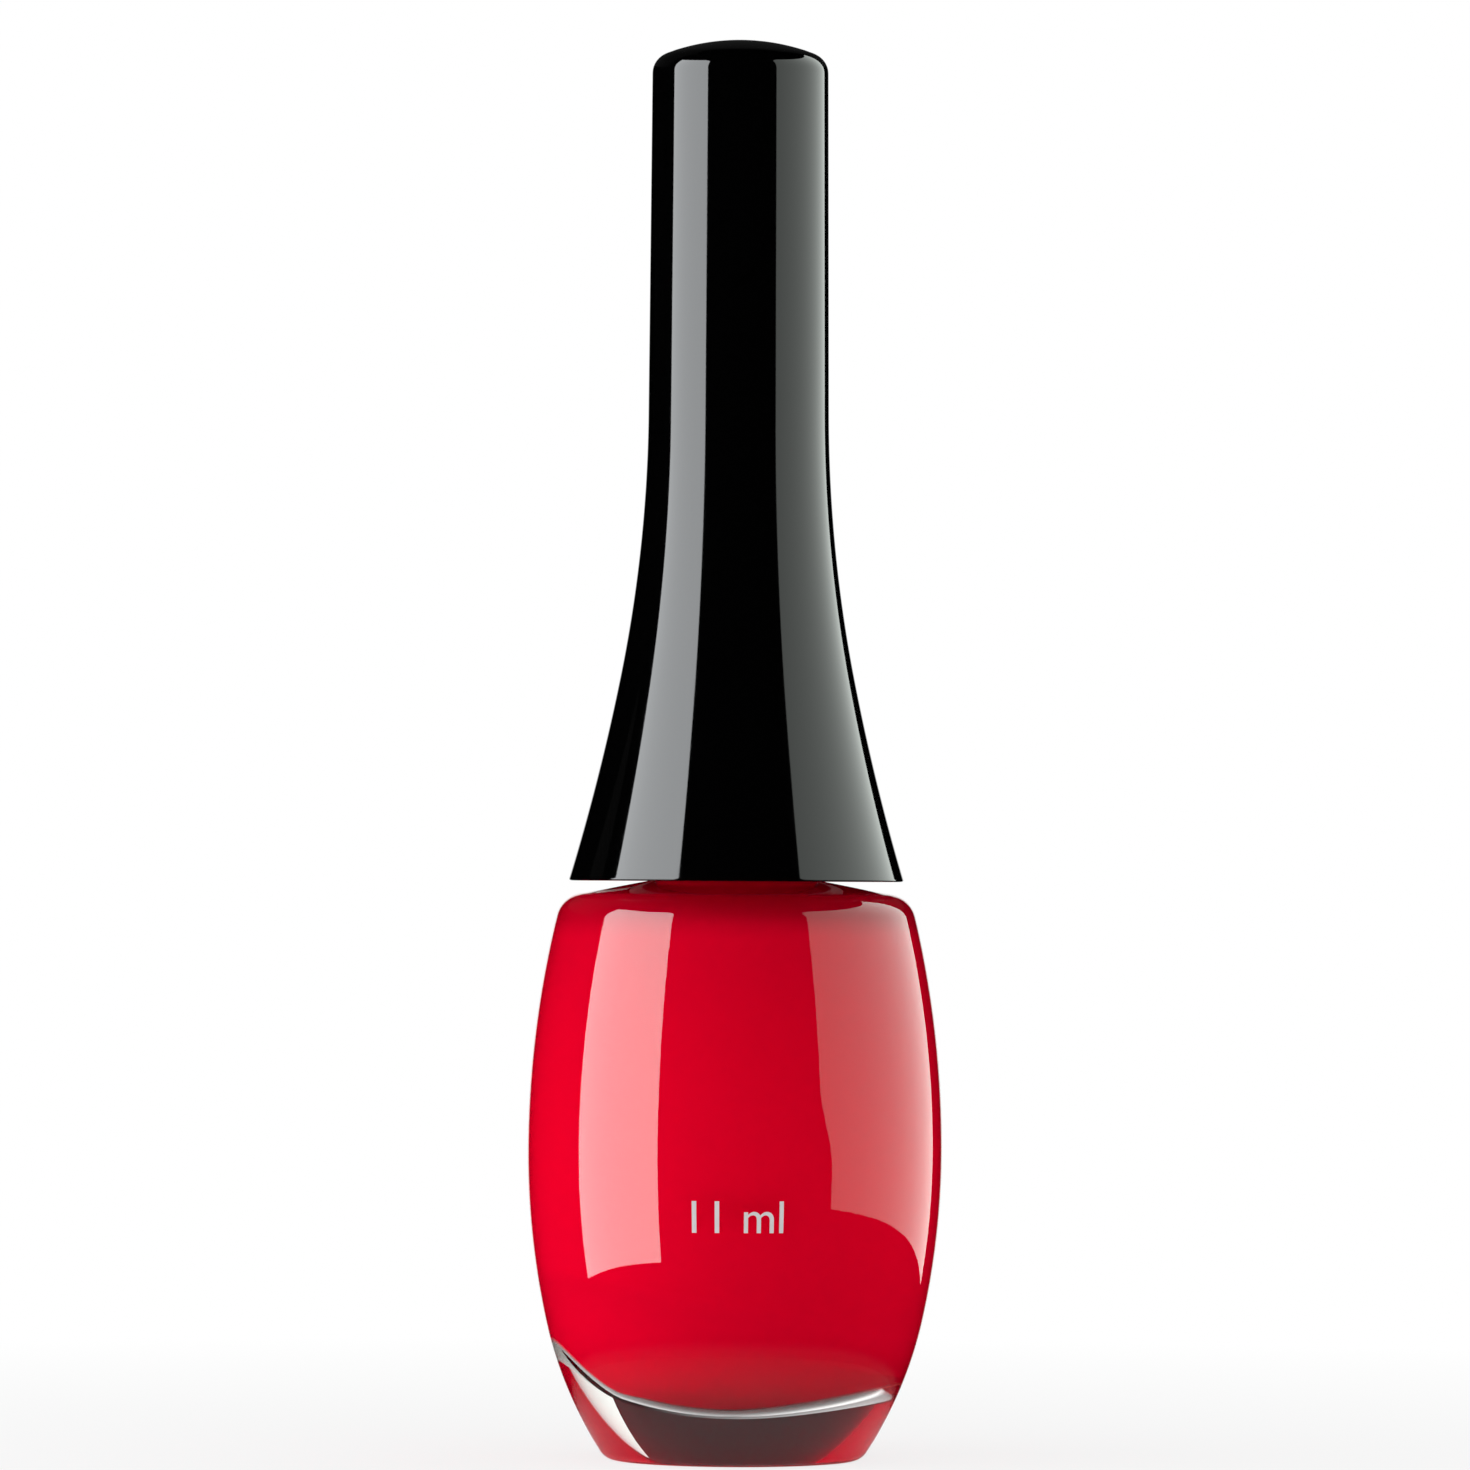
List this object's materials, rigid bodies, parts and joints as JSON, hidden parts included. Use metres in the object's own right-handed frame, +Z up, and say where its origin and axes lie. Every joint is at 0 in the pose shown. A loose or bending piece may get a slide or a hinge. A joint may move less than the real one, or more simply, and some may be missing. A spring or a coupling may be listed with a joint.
{
  "type": "nail polish bottle",
  "caption": "Barrel-shaped clear glass bottle of opaque red nail lacquer, with a threaded brush closure under a tall flared gloss black overcap.",
  "frame": {"origin": "centre of the base ring that the bottle stands on", "axes": "+Z up along the bottle's axis, -Y the front"},
  "size_m": [0.0282, 0.0282, 0.0965],
  "materials": {
    "glass": "clear moulded glass, smooth",
    "lacquer": "opaque red liquid lacquer",
    "label_paper": "blank dark satin film label",
    "steel": "polished stainless steel",
    "liner_white": "soft white polyethylene",
    "stem_black": "satin moulded black plastic",
    "bristle_black": "fine black nylon filaments",
    "closure_black": "satin moulded black plastic",
    "overcap_black": "high-gloss black moulded plastic"
  },
  "bodies": {
    "bottle": {"glass_bottle": "glass", "polish_fill": "lacquer", "base_label": "label_paper"},
    "ball_1": {"mixing_ball_1": "steel"},
    "ball_2": {"mixing_ball_2": "steel"},
    "washer": {"sealing_liner": "liner_white"},
    "brush": {"brush_stem": "stem_black", "bristle_root": "bristle_black", "tuft_anchor": "steel"},
    "cap": {"inner_cap": "closure_black", "overcap": "overcap_black"},
    "bristles": {"bristle_tuft": "bristle_black"}
  },
  "joints": [
    {"name": "cap_lift", "type": "slide", "parent": "bottle", "child": "washer", "axis": [0, 0, 1], "range_m": [0, 0.055]},
    {"name": "cap_rise", "type": "slide", "parent": "washer", "child": "brush", "axis": [0, 0, 1], "range_m": [0, 0.0032]},
    {"name": "cap_turn", "type": "hinge", "parent": "brush", "child": "cap", "pos_m": [0, 0, 0.0448], "axis": [0, 0, 1], "range_deg": [0, 540]},
    {"name": "bristle_flex", "type": "hinge", "parent": "brush", "child": "bristles", "pos_m": [0, 0, 0.0238], "axis": [0, 1, 0], "range_deg": [-20, 20], "stiffness_Nm_per_rad": 0.005},
    {"name": "ball_1_roll", "type": "hinge", "parent": "bottle", "child": "ball_1", "pos_m": [0, 0, 0.0075], "axis": [0, 0, 1], "range_deg": [-65, 65]},
    {"name": "ball_2_roll", "type": "hinge", "parent": "bottle", "child": "ball_2", "pos_m": [0, 0, 0.0075], "axis": [0, 0, 1], "range_deg": [-65, 65]}
  ],
  "couplings": [
    {"joint": "cap_rise", "follows": "cap_turn", "m_per_rad": 0.00033688}
  ]
}
